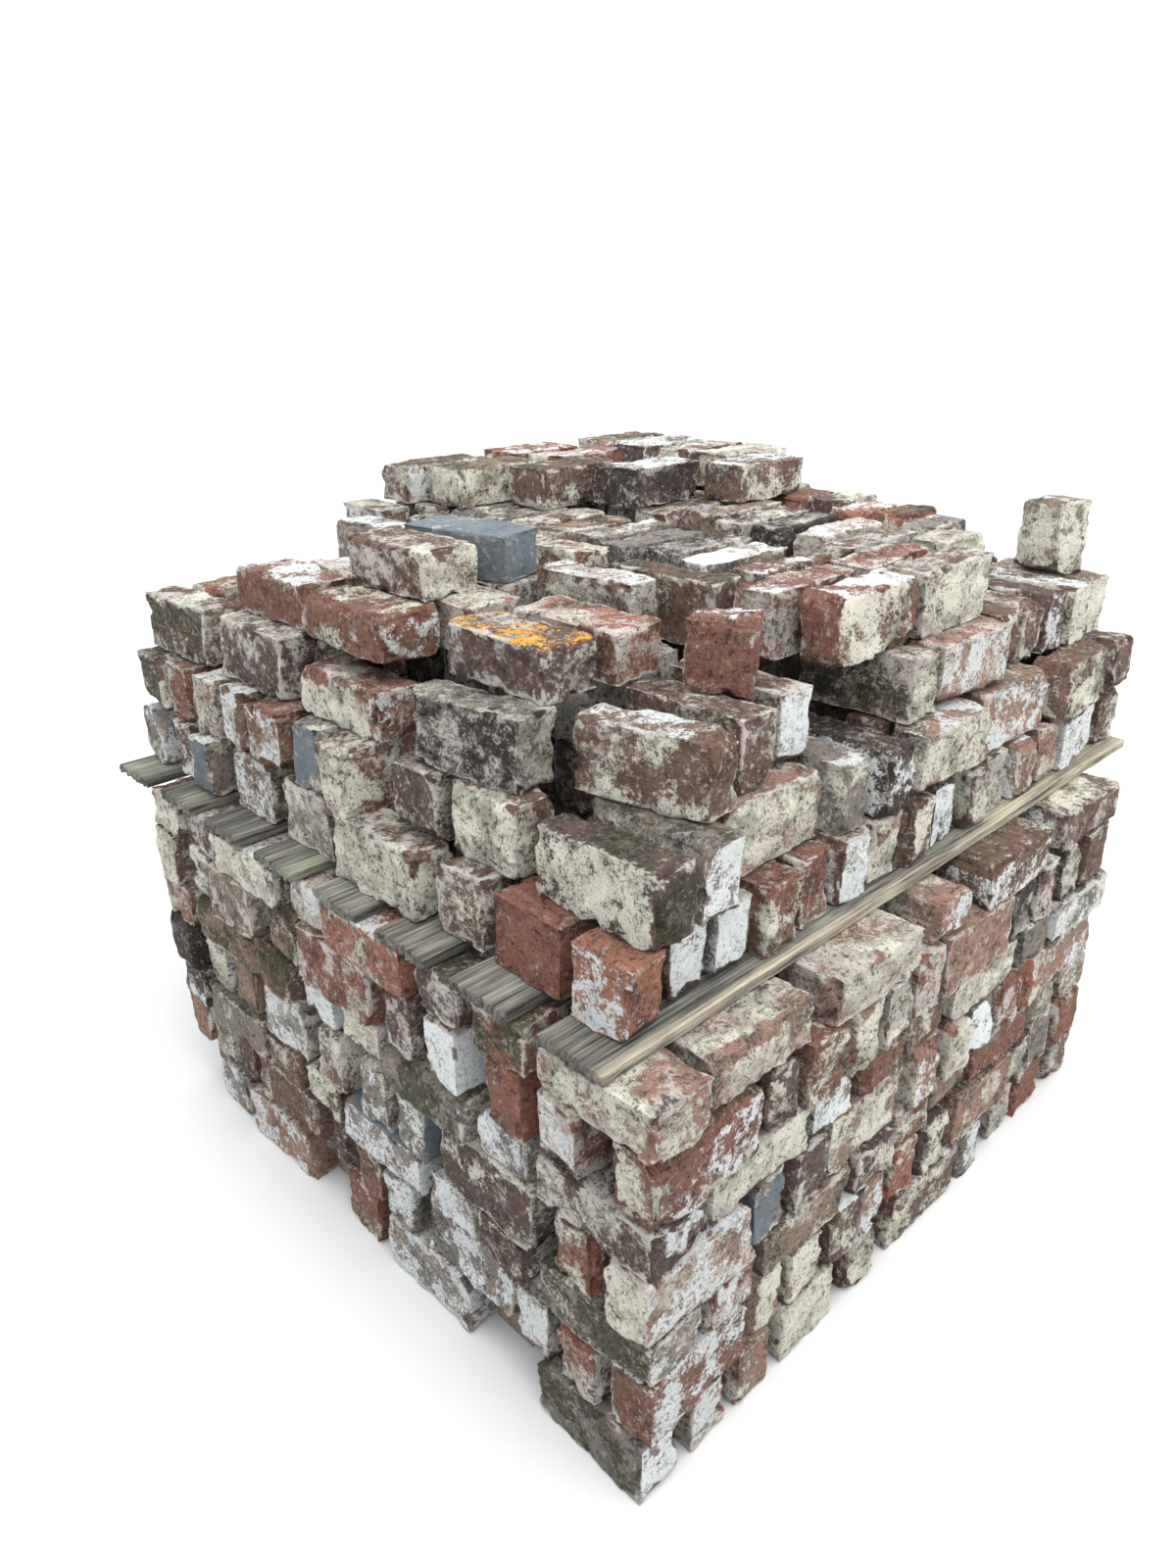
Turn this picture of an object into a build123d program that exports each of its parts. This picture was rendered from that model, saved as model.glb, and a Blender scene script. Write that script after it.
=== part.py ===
"""A hand-stacked load of reclaimed clay bricks: pallet, lower tier, eight spacer boards and upper tier.

Units are millimetres and +Z is up. X runs along the long face that shows the board edge and Y along the
face that shows the board ends. The origin is on the ground at the middle of the whole load.
"""
from build123d import *
import math
import os
import random

os.makedirs("parts", exist_ok=True)
dice = random.Random(28)

# One brick, and how worn its corners are
BRICK_LENGTH = 228
BRICK_WIDTH = 115
BRICK_THICKNESS = 82
WORN_CORNER = 7
BAT_LENGTH = 152
SHORT_BAT = 112
BREAK_SLANT = 24

# Spacer boards between the tiers
BOARD_LENGTH = 1600
BOARD_WIDTH = 125
BOARD_THICKNESS = 20
BOARD_COUNT = 8
BOARD_SPREAD = 1406
BOARD_WORN = 2

# Pallet under the lower tier; its top is level with the bricks on the ground beside it
PALLET_INSET_LEFT = 60
PALLET_INSET_END = 190
PALLET_INSET_NEAR = 215
PALLET_INSET_FAR = 120
PALLET_TOP = BRICK_WIDTH
SLAT_THICKNESS = 18
BEARER_HEIGHT = PALLET_TOP - 2 * SLAT_THICKNESS
BEARER_WIDTH = 90
BEARER_OVERHANG = 70
SLAT_WIDTH = 100
SLAT_COUNT = 8
SKID_COUNT = 3

# How the tiers stand relative to the spacer boards, and how loosely the bricks lie
LOWER_PROUD = 85
LOWER_SETBACK = 0
LOWER_END_SETBACK = 190
LOWER_FAR_SETBACK = 115
SMALLEST_GAP = 14
RAGGED = 18
TOP_RAGGED = 4
TWIST = 1.9
CORE_CLEARANCE = 14
BACKING_GAP = 2

# The spacer boards' near corner, seen from the middle of the load
DECK_X = -BOARD_LENGTH / 2
DECK_Y = -(BOARD_SPREAD - LOWER_PROUD) / 2

# Length along the face, depth into the load and height of each way to lay a brick; "m" is a missing one
KINDS = {
    "h": (BRICK_THICKNESS, BRICK_LENGTH, BRICK_WIDTH),
    "s": (BRICK_LENGTH, BRICK_THICKNESS, BRICK_WIDTH),
    "b": (BAT_LENGTH, BRICK_THICKNESS, BRICK_WIDTH),
    "q": (SHORT_BAT, BRICK_THICKNESS, BRICK_WIDTH),
    "f": (BRICK_LENGTH, BRICK_WIDTH, BRICK_THICKNESS),
    "e": (BRICK_WIDTH, BRICK_LENGTH, BRICK_THICKNESS),
    "u": (BRICK_WIDTH, BRICK_THICKNESS, BAT_LENGTH),
    "m": (BRICK_THICKNESS, 0, 0),
}


def fill(pattern, span):
    """Repeats a pattern of bricks while it fits a span, and says how much of the span is left over."""
    row = []
    used = 0
    while used + KINDS[pattern[len(row) % len(pattern)][0]][0] <= span:
        brick = pattern[len(row) % len(pattern)]
        used += KINDS[brick[0]][0] + SMALLEST_GAP
        row.append(brick)
    return row, span - used + SMALLEST_GAP


def loosely(kinds, ragged=RAGGED):
    """A pattern of bricks with chance gaps, setbacks and twists, for a face that needs no set layout."""
    return [(kind, dice.uniform(5, 25), dice.uniform(0, ragged), dice.uniform(-TWIST, TWIST))
            for kind in kinds]


def face_run(pattern, start, direction, inward, span, deep_ends=BRICK_LENGTH):
    """Lays bricks along one face; what is left of the span is shared out by the gaps in the pattern."""
    row, spare = fill(pattern, span)
    shares = sum(gap for kind, gap, setback, twist in row[:-1]) or 1
    face_turn = math.degrees(math.atan2(direction.Y, direction.X))
    along = 0
    bricks = []
    for kind, gap, setback, twist in row:
        length, depth, height = KINDS[kind]
        middle = start + direction * (along + length / 2) + inward * (setback + depth / 2)
        turn = face_turn + twist
        if depth:
            bricks.append((kind, middle, turn))
        clear_of_corners = along > deep_ends and along + length < span - deep_ends
        if 0 < depth < BRICK_WIDTH and clear_of_corners:
            bricks.append((kind, middle + inward * (depth + BACKING_GAP), turn))
        along += length + SMALLEST_GAP + spare * gap / shares
    return bricks


def ring(x_range, y_range, left, right, rear):
    """The bricks round the four faces of one course; each face starts clear of the corner brick before it."""
    east, north = Vector(1, 0), Vector(0, 1)
    x_near, x_far = x_range
    y_near, y_far = y_range
    clear = RAGGED + SMALLEST_GAP
    left_row, spare = fill(left, y_far - y_near)
    corner_swing = KINDS[left[0][0]][0] / 2 * math.sin(math.radians(left[0][3]))
    near_turn = KINDS[left[0][0]][1] + left[0][2] + corner_swing + SMALLEST_GAP
    right_row, spare = fill(right, x_far - x_near - near_turn)
    end_turn = KINDS[right_row[-1][0]][1] + right_row[-1][2] + SMALLEST_GAP
    end_row, spare = fill(rear, y_far - y_near - end_turn)
    far_turn = KINDS[left_row[-1][0]][1] + left_row[-1][2] + SMALLEST_GAP
    last_turn = KINDS[end_row[-1][0]][1] + clear
    inner = BRICK_LENGTH + clear
    bricks = face_run(left, Vector(x_near, y_near), north, east, y_far - y_near, inner + SMALLEST_GAP)
    bricks += face_run(right, Vector(x_near + near_turn, y_near), east, north, x_far - x_near - near_turn,
                       inner)
    bricks += face_run(rear, Vector(x_far, y_near + end_turn), north, east * -1, y_far - y_near - end_turn,
                       inner)
    bricks += face_run(rear, Vector(x_near + far_turn, y_far), east, north * -1,
                       x_far - x_near - far_turn - last_turn, inner)
    return bricks


def brick_outlines(bricks, height):
    """Draws the outline from above of each brick of one height, a bat with a broken end."""
    for kind in sorted({brick[0] for brick in bricks if KINDS[brick[0]][2] == height}):
        length, depth, tall = KINDS[kind]
        places = [Location((spot.X, spot.Y), turn) for k, spot, turn in bricks if k == kind]
        with Locations(*places):
            if kind in "bq":
                broken_end = [(-length / 2, -depth / 2), (length / 2 - BREAK_SLANT, -depth / 2),
                              (length / 2, 0), (length / 2 - BREAK_SLANT / 3, depth / 2),
                              (-length / 2, depth / 2)]
                Polygon(*broken_end, align=None)
            else:
                Rectangle(length, depth)


def save(part, name):
    """Names a finished piece and writes it to its own file."""
    part.label = name
    export_step(part, f"parts/{name}.step")


def lay_course(name, bricks, base):
    """One layer of bricks, each a solid with worn upright corners."""
    with BuildPart() as course:
        for height in sorted({KINDS[brick[0]][2] for brick in bricks}):
            with BuildSketch(Plane.XY.offset(base)) as outlines:
                brick_outlines(bricks, height)
                chamfer(outlines.vertices(), WORN_CORNER)
            extrude(amount=height)
    save(course.part, name)


def box_between(name, x_range, y_range, z_range, worn=0):
    """A board, bearer or core that fills three ranges, with its long edges worn."""
    width = y_range[1] - y_range[0]
    length = x_range[1] - x_range[0]
    height = z_range[1] - z_range[0]
    with BuildPart() as block:
        with BuildSketch(Plane.XY.offset(z_range[0])):
            with Locations(((x_range[0] + x_range[1]) / 2, (y_range[0] + y_range[1]) / 2)):
                Rectangle(length, width)
        extrude(amount=height)
        if worn:
            along = Axis.X if length > width else Axis.Y
            chamfer(block.edges().filter_by(along), worn)
    save(block.part, name)


# Pallet: skids below, three bearers and the slats that the lower tier stands on
pallet_x = (DECK_X + PALLET_INSET_LEFT, DECK_X + BOARD_LENGTH - PALLET_INSET_END)
pallet_y = (DECK_Y + PALLET_INSET_NEAR, DECK_Y + BOARD_SPREAD - PALLET_INSET_FAR)
slat_x = (pallet_x[0] + BEARER_OVERHANG, pallet_x[1])
slat_pitch = (slat_x[1] - slat_x[0] - SLAT_WIDTH) / (SLAT_COUNT - 1)
skid_pitch = (slat_x[1] - slat_x[0] - SLAT_WIDTH) / (SKID_COUNT - 1)
bearer_pitch = (pallet_y[1] - pallet_y[0] - BEARER_WIDTH) / 2

for number in range(SKID_COUNT):
    skid_start = slat_x[0] + number * skid_pitch
    box_between(f"pallet_skid_{number + 1}", (skid_start, skid_start + SLAT_WIDTH), pallet_y,
                (0, SLAT_THICKNESS), BOARD_WORN)
for number in range(3):
    bearer_start = pallet_y[0] + number * bearer_pitch
    box_between(f"pallet_bearer_{number + 1}", pallet_x, (bearer_start, bearer_start + BEARER_WIDTH),
                (SLAT_THICKNESS, SLAT_THICKNESS + BEARER_HEIGHT), BOARD_WORN)
for number in range(SLAT_COUNT):
    slat_start = slat_x[0] + number * slat_pitch
    box_between(f"pallet_slat_{number + 1}", (slat_start, slat_start + SLAT_WIDTH), pallet_y,
                (PALLET_TOP - SLAT_THICKNESS, PALLET_TOP), BOARD_WORN)

# Lower tier: the ground course runs beside the pallet and between its bearers, the others stand on both
lower_x = (DECK_X + LOWER_SETBACK, DECK_X + BOARD_LENGTH - LOWER_END_SETBACK)
lower_y = (DECK_Y - LOWER_PROUD, DECK_Y + BOARD_SPREAD - LOWER_FAR_SETBACK)
ground_start = BRICK_THICKNESS + RAGGED + SMALLEST_GAP
ground_bricks = [("s", Vector(lower_x[0] + BRICK_THICKNESS / 2, lower_y[0] + BRICK_LENGTH / 2), 90)]
ground_bricks += face_run(loosely("hhbhshhqhs"), Vector(lower_x[0] + ground_start, lower_y[0]), Vector(1, 0),
                          Vector(0, 1), lower_x[1] - lower_x[0] - ground_start, lower_x[1] - lower_x[0])
for number in range(2):
    bay_start = pallet_y[0] + number * bearer_pitch + BEARER_WIDTH + SMALLEST_GAP
    bay_pattern = [("s", 10, 6, 1), ("q", 10, 12, -1)]
    ground_bricks += face_run(bay_pattern, Vector(lower_x[0], bay_start), Vector(0, 1), Vector(1, 0),
                              bearer_pitch - BEARER_WIDTH - 2 * SMALLEST_GAP, BOARD_LENGTH)
lay_course("ground_course", ground_bricks, 0)

# The lower courses from the pallet up, on edge or flat: the left, the right and the other two faces
LOWER_PATTERNS = [
    ("hhhshhhshhhh", "hhhhhhshhqhh", "sshsb"),
    ("feefeefeee", "efeeefeefe", "feff"),
    ("hhshhhbhhhsh", "hhshhhhhshhh", "shsbs"),
    ("fefeeefefe", "feeefefeee", "ffef"),
    ("hhhhhshbhhsh", "hhhhhshhhqhh", "sbhss"),
    ("feefefeef", "ffefffe", "fff"),
]
course_base = PALLET_TOP
for number, (left, right, rear) in enumerate(LOWER_PATTERNS):
    bricks = ring(lower_x, lower_y, loosely(left), loosely(right), loosely(rear))
    lay_course(f"lower_course_{number + 1}", bricks, course_base)
    course_base += KINDS[left[0]][2]
BOARD_BASE = course_base

# The hidden middle of a tier is one plain block
core_inset = BRICK_LENGTH + RAGGED + CORE_CLEARANCE
lower_core_x = (lower_x[0] + core_inset, lower_x[1] - core_inset)
lower_core_y = (lower_y[0] + core_inset, lower_y[1] - core_inset)
box_between("lower_core", lower_core_x, lower_core_y, (PALLET_TOP, BOARD_BASE))

# Spacer boards, side by side with gaps, on the lower tier
UPPER_BASE = BOARD_BASE + BOARD_THICKNESS
board_pitch = (BOARD_SPREAD - BOARD_WIDTH) / (BOARD_COUNT - 1)
for number in range(BOARD_COUNT):
    board_start = DECK_Y + number * board_pitch
    box_between(f"spacer_board_{number + 1}", (DECK_X, DECK_X + BOARD_LENGTH),
                (board_start, board_start + BOARD_WIDTH), (BOARD_BASE, UPPER_BASE), BOARD_WORN)

# Upper tier: each brick with the looseness after it, its setback and its twist in degrees
UPPER_EDGE = 12
UPPER_LEFT = [
    [("q", 12, 50, 2), ("b", 8, 60, -1), ("q", 14, 62, 2), ("s", 30, 44, 0), ("b", 45, 62, 1), ("b", 30, 66, -1),
     ("h", 20, 38, 1), ("h", 20, 60, 0), ("h", 20, 50, -1)],
    [("s", 45, 100, 0), ("b", 8, 104, -1), ("q", 70, 88, 1), ("h", 25, 40, -2), ("h", 25, 64, 0),
     ("q", 25, 56, 2), ("h", 14, 66, 0), ("h", 20, 62, 1), ("h", 18, 66, -1), ("h", 10, 60, 0)],
    [("s", 4, 228, 12), ("s", 50, 118, 8), ("f", 25, 108, 1), ("s", 25, 104, -1), ("s", 10, 96, 2)],
]
UPPER_RIGHT = [
    [("h", 22, 22, 1), ("h", 26, 14, -1), ("h", 40, 4, 0), ("h", 25, 18, 2), ("h", 20, 8, 0), ("h", 45, 20, 1),
     ("h", 25, 6, -1), ("h", 40, 16, 0), ("h", 30, 2, 1), ("h", 40, 20, -2), ("h", 6, 5, 0), ("h", 10, 14, 0),
     ("h", 10, 4, 1)],
    [("h", 30, 2, 0), ("s", 20, 56, -2), ("h", 14, 26, 1), ("h", 18, 6, -1), ("s", 50, 8, 1), ("s", 30, 30, -3),
     ("s", 10, 4, 2)],
    [("h", 30, 22, 2), ("h", 2, 50, 0), ("m", 0, 0, 0), ("m", 0, 0, 0), ("h", 4, 4, 2), ("s", 2, 0, -3),
     ("h", 1, 26, 1), ("h", 1, 30, -1), ("h", 0, 28, 0), ("h", 0, 20, 1), ("h", 0, 30, -1)],
]
UPPER_REAR = ["sshsb", "bshss", "shsbs"]
UPPER_STEP = 50
upper_x = (DECK_X + UPPER_EDGE, DECK_X + BOARD_LENGTH - UPPER_EDGE)
upper_setback = max(brick[2] + KINDS[brick[0]][1] for course in UPPER_LEFT for brick in course)
inner_x = upper_x[0] + upper_setback + CORE_CLEARANCE
core_near = DECK_Y + UPPER_EDGE + UPPER_STEP + core_inset + UPPER_STEP
for number, (left, right, rear) in enumerate(zip(UPPER_LEFT, UPPER_RIGHT, UPPER_REAR)):
    near_edge = UPPER_EDGE + UPPER_STEP * (number // 2)
    upper_y = (DECK_Y + near_edge, DECK_Y + BOARD_SPREAD - UPPER_EDGE)
    bricks = ring(upper_x, upper_y, left, right, loosely(rear))
    bricks += face_run(loosely("hhhhhhhh"), Vector(inner_x, core_near), Vector(0, 1), Vector(1, 0),
                       upper_y[1] - core_inset - core_near, BOARD_LENGTH)
    lay_course(f"upper_course_{number + 1}", bricks, UPPER_BASE + number * BRICK_WIDTH)
TOP_BASE = UPPER_BASE + len(UPPER_LEFT) * BRICK_WIDTH

upper_core_x = (inner_x + core_inset, upper_x[1] - core_inset)
upper_core_y = (core_near, upper_y[1] - core_inset)
box_between("upper_core", upper_core_x, upper_core_y, (UPPER_BASE, TOP_BASE))

# Top course: bricks on edge, in a column along Y and rows along X; each starts so many brick lengths in
COLUMN_START = 1.4
COLUMN_X = 2.47
ROW_STARTS = [2.8, 2.6, 2.98, 2.93, 3.03, 2.95, 3.06, 2.97, 3.02, 2.93, 3.04, 2.97, 3.02, 2.95]
ROW_ENDS = [2.1, 1.4, 0.9, 0.6, 0.7, 0.4, 0.5, 0.3, 0.5, 0.2, 0.3, 0.2, 0.4, 0.3]
TOP_SETBACK = 118
row_pitch = BRICK_THICKNESS + SMALLEST_GAP
top_start = DECK_Y + TOP_SETBACK
row_count = min(len(ROW_STARTS), int((upper_y[1] - top_start) // row_pitch))
column_start = Vector(DECK_X + COLUMN_X * BRICK_LENGTH, DECK_Y + COLUMN_START * BRICK_LENGTH)
top_bricks = face_run(loosely("sssbs"), column_start, Vector(0, 1), Vector(1, 0),
                      upper_y[1] - column_start.Y, BOARD_LENGTH)
for row in range(row_count):
    row_x = (DECK_X + ROW_STARTS[row] * BRICK_LENGTH, upper_x[1] - ROW_ENDS[row] * BRICK_LENGTH)
    row_start = Vector(row_x[0], top_start + row * row_pitch)
    top_bricks += face_run(loosely("ssbss", TOP_RAGGED), row_start, Vector(1, 0), Vector(0, 1),
                           row_x[1] - row_x[0], BOARD_LENGTH)
lay_course("top_course", top_bricks, TOP_BASE)

# Crown: flat bricks on the far half of the top course
CROWN_BASE = TOP_BASE + BRICK_WIDTH
CROWN_STARTS = [5.1, 4.2, 3.6, 3.1, 2.9]
CROWN_SETBACK = 735
crown_bricks = []
for row, start in enumerate(CROWN_STARTS):
    row_start = Vector(DECK_X + start * BRICK_LENGTH,
                       DECK_Y + CROWN_SETBACK + row * (BRICK_WIDTH + SMALLEST_GAP))
    if row_start.Y + BRICK_WIDTH <= upper_y[1]:
        crown_bricks += face_run(loosely("ff", TOP_RAGGED), row_start, Vector(1, 0), Vector(0, 1),
                                 upper_x[1] - row_start.X - BRICK_THICKNESS, BOARD_LENGTH)
lay_course("crown_course", crown_bricks, CROWN_BASE)

# Loose bricks on top: kind, middle in brick lengths from the boards' near corner, turn and base; a middle
# with a minus is measured from the right end of the upper tier
LOOSE = [
    ("f", (1.17, 1.93), 90, TOP_BASE),
    ("f", (1.74, 1.87), 93, TOP_BASE),
    ("q", (2.0, 0.89), 122, TOP_BASE),
    ("f", (0.93, 3.28), 90, TOP_BASE),
    ("f", (1.49, 3.02), 88, TOP_BASE),
    ("f", (1.0, 4.42), 91, TOP_BASE),
    ("f", (1.52, 4.2), 89, TOP_BASE),
    ("f", (2.04, 3.36), 90, TOP_BASE),
    ("s", (2.23, 2.27), 91, TOP_BASE),
    ("s", (2.2, 4.95), 89, TOP_BASE),
    ("f", (1.35, 3.33), 89, TOP_BASE + BRICK_THICKNESS),
    ("f", (2.0, 3.4), 103, TOP_BASE + BRICK_THICKNESS),
    ("u", (-0.27, 0.89), 72, TOP_BASE),
]
for number, base in enumerate(sorted({loose[3] for loose in LOOSE})):
    bricks = [(kind, Vector((DECK_X if spot[0] > 0 else upper_x[1]) + spot[0] * BRICK_LENGTH,
                            DECK_Y + spot[1] * BRICK_LENGTH), turn)
              for kind, spot, turn, level in LOOSE if level == base]
    lay_course(f"loose_bricks_{number + 1}", bricks, base)
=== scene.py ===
import math
import random
import bmesh
import bpy
from mathutils import Matrix, Vector, noise


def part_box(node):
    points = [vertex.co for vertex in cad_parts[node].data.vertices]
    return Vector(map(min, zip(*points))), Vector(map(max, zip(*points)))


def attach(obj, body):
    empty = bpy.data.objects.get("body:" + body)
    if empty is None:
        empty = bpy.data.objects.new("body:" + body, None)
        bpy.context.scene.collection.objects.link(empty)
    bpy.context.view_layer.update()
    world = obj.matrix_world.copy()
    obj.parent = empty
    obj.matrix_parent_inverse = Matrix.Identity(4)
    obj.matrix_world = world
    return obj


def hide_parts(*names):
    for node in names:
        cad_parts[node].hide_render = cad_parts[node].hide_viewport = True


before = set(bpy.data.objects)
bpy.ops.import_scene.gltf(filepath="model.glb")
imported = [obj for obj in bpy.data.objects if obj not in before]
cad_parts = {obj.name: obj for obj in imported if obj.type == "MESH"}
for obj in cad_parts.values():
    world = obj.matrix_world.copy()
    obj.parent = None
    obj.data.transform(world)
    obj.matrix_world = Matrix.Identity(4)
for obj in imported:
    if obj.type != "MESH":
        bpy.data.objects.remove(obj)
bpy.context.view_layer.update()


# Pallet: skids, bearers and slats of sawn softwood, nailed together. Their wood is coloured near black: partly damp,
# partly painted shade under the load.
# The imported timbers have the right shape, so they only get their wood here.
class Wire:
    """A shader value that Python's arithmetic can build on."""

    def __init__(self, tree, socket):
        self.tree = tree
        self.socket = socket

    def node(self, kind, settings=None, values=None, out=0):
        made = self.tree.nodes.new(kind)
        for name, value in (settings or {}).items():
            setattr(made, name, value)
        for name, value in (values or {}).items():
            socket = made.inputs[name]
            if isinstance(value, Wire):
                self.tree.links.new(value.socket, socket)
            else:
                socket.default_value = value
        return Wire(self.tree, made.outputs[out])

    def math(self, operation, other):
        return self.node("ShaderNodeMath", {"operation": operation}, {1: other, 0: self})

    def __add__(self, other):
        return self.math("ADD", other)

    def __sub__(self, other):
        return self.math("SUBTRACT", other)

    def __mul__(self, other):
        return self.math("MULTIPLY", other)

    def __rsub__(self, other):
        return self.node("ShaderNodeMath", {"operation": "SUBTRACT"}, {0: other, 1: self})

    __radd__ = __add__
    __rmul__ = __mul__

    def step(self, low, high):
        """Rises softly from 0 to 1 as this value goes from low to high."""
        return self.node("ShaderNodeMapRange", {"interpolation_type": "SMOOTHSTEP"},
                         {"Value": self, "From Min": low, "From Max": high})

    def stretched(self, scale):
        return self.node("ShaderNodeMapping", {}, {"Vector": self, "Scale": scale})

    def noise(self, scale, detail=4.0, rough=0.55, warp=0.0):
        values = {"Vector": self, "Scale": scale, "Detail": detail, "Roughness": rough, "Distortion": warp}
        return self.node("ShaderNodeTexNoise", {}, values)

    def cells(self, scale):
        return self.node("ShaderNodeTexVoronoi", {}, {"Vector": self, "Scale": scale})

    def ramp(self, stops):
        """A colour for each value, from (position, colour) stops."""
        made = self.tree.nodes.new("ShaderNodeValToRGB")
        band = made.color_ramp
        while len(band.elements) < len(stops):
            band.elements.new(0.5)
        for element, (position, colour) in zip(band.elements, stops):
            element.position = position
            element.color = (*colour, 1.0)
        self.tree.links.new(self.socket, made.inputs[0])
        return Wire(self.tree, made.outputs[0])

    def tint(self, colour, amount):
        """This colour with another laid over it by an amount."""
        colour = colour if isinstance(colour, Wire) else (*colour, 1.0)
        return self.node("ShaderNodeMix", {"data_type": "RGBA"}, {0: amount, 6: self, 7: colour}, 2)

    def part(self, index):
        return self.node("ShaderNodeSeparateColor", {}, {0: self}, index)


def new_finish(name):
    """A material with a plain shader, and the object's coordinates to build its patterns on."""
    finish = bpy.data.materials.new(name)
    finish.use_nodes = True
    tree = finish.node_tree
    shader = tree.nodes["Principled BSDF"]
    start = Wire(tree, None)
    place = start.node("ShaderNodeTexCoord", {}, {}, "Object")
    return finish, shader, place


def use_finish(shader, colour, rough, relief, distance):
    """Feeds a shader with a colour, a roughness and a relief."""
    tree = colour.tree
    bump = relief.node("ShaderNodeBump", {}, {"Height": relief, "Distance": distance, "Strength": 1.0})
    for socket, value in (("Base Color", colour), ("Roughness", rough), ("Normal", bump)):
        tree.links.new(value.socket, shader.inputs[socket])


WOOD_DAMP_IN_SHADE = (0.045, 0.032, 0.022)
WOOD_DRIER_IN_SHADE = (0.17, 0.13, 0.095)
ALGAE = (0.02, 0.03, 0.012)
DAMP_DEPTH = 0.003

pallet_wood_with_shade, damp_shader, spot = new_finish("pallet_wood_damp_and_shaded")
damp_grain = spot.stretched((6, 90, 90)).noise(1.0, 6.0, 0.6)
# both wood colours are very dark: damp grain with painted shade under the bricks laid into it
pallet_colour_with_shade = damp_grain.ramp([(0.3, WOOD_DAMP_IN_SHADE), (0.7, WOOD_DRIER_IN_SHADE)])
pallet_colour_with_shade = pallet_colour_with_shade.tint(ALGAE, spot.noise(9.0).step(0.5, 0.7))
use_finish(damp_shader, pallet_colour_with_shade, 0.75 + damp_grain * 0.2, damp_grain, DAMP_DEPTH)
for name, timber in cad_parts.items():
    if name.startswith("pallet_"):
        timber.data.materials.clear()
        timber.data.materials.append(pallet_wood_with_shade)


# Bricks: hand-made clay bricks, taken from an old building and stacked dry, with worn edges, broken
# corners, old mortar, limewash, paint and moss. Each is cut from a block, rounded, chipped and roughened.
# Mesh: the cells of near and far bricks, how deep the near ones reach from the two sides that face the
# camera, how much cells crowd towards edges, and the limits that a packed brick is read with
NEAR_CELL = 0.0088
FAR_CELL = 0.016
NEAR_WEST = 0.26
NEAR_SOUTH = 0.30
EDGE_CROWD = 1.22
MERGE_GAP = 0.0001
LEVEL_GAP = 0.0005
CORNER_TURN = 1.0
TURN_START = 0.5
SAME_LENGTH = 1e-6
NO_LENGTH = 1e-7
BRICK_CREASE = 33
# Wear: rounded edges, corners cut off by planes, round bites, and how fast a break bares the clay
WORN_SHARE = 0.45
LEAST_ROUND = 0.0034
WORN_ROUND = 0.0130
WORN_WAVE = 0.032
CUT_SLOPES = (0.25, 1.0)
EDGE_CUT_SHARE = 0.55
EDGE_CUT_LEAN = 0.08
CUT_DEPTHS = (0.004, 0.020)
CUT_ROUGH = 0.006
CUT_WAVE = 0.03
BITES_PER_CHIP = 3
BITE_REACHES = (0.010, 0.032)
BITE_OFFSET = 0.45
BITE_ROUGH = 0.35
BITE_WAVE = 0.02
BREAK_FADE = 0.004
BREAK_BARES = 0.8
# Surface: rises in metres and the length of their waves, how crooked and tapered a brick is, and how far it
# is sunk, less so on the faces it is bedded on
NOISE_SPAN = 90
COARSE_RISE = 0.0028
COARSE_WAVE = 0.055
FINE_RISE = 0.0018
FINE_WAVE = 0.018
CROOKED = 0.0045
CROOKED_WAVE = 0.11
CROOKED_SHIFT = 31
TAPERS = ((-0.025, 0.0), (-0.03, 0.0), (-0.015, 0.0))
SUNK = 0.0036
BEDDED = 0.85
TILT_ACROSS = 0.7
TILT_ALONG = 0.5
# Crusts: how squarely a face must look one way to carry them, their spread and patches, and mortar's height
FACING_GAIN = 2
FACING_START = 0.9
CRUST_SPREAD = 0.72
CRUST_PATCH = 0.34
PATCH_WAVE = 0.07
PATCH_SHIFT = Vector((5, 5, 5))
MORTAR_RISE = 0.0038
MORTAR_START = 0.35
MORTAR_GAIN = 4
LOCAL_SIDES = {"-x": Vector((-1, 0, 0)), "+x": Vector((1, 0, 0)), "-y": Vector((0, -1, 0)),
               "+y": Vector((0, 1, 0)), "-z": Vector((0, 0, -1)), "+z": Vector((0, 0, 1))}
WORLD_SIDES = {"west": Vector((-1, 0, 0)), "east": Vector((1, 0, 0)), "south": Vector((0, -1, 0)),
               "north": Vector((0, 1, 0)), "under": Vector((0, 0, -1)), "top": Vector((0, 0, 1))}

CLAYS = [(0.0, (0.062, 0.046, 0.040)), (0.15, (0.140, 0.084, 0.072)), (0.30, (0.185, 0.107, 0.070)),
         (0.45, (0.29, 0.115, 0.072)), (0.60, (0.40, 0.170, 0.100)), (0.75, (0.37, 0.222, 0.160)),
         (0.88, (0.27, 0.205, 0.14)), (1.0, (0.24, 0.22, 0.20))]
HUES = {"dark": 0.03, "purple": 0.13, "brown": 0.28, "red": 0.41, "bright": 0.47, "orange": 0.56, "pink": 0.75,
        "ochre": 0.87, "grey": 0.98}
MORTAR_PALE = (0.89, 0.85, 0.69)
MORTAR_GREEN = (0.42, 0.40, 0.27)
LIME_VEIL = (0.72, 0.66, 0.58)
LIMEWASH = (0.95, 0.97, 0.94)
BLUE_PAINT = (0.21, 0.245, 0.265)
MOSS = (0.085, 0.080, 0.035)
LICHEN = (0.90, 0.45, 0.05)
SOOT = (0.030, 0.024, 0.021)
GRIT_PALE = (0.60, 0.43, 0.34)
MORTAR_DIRT = (0.13, 0.11, 0.07)
WASH_DULL = (0.58, 0.60, 0.58)
WASH_DIRT = (0.24, 0.22, 0.18)
PAINT_DULL = (0.13, 0.155, 0.175)
PAINT_DIRT = (0.10, 0.10, 0.09)
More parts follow.
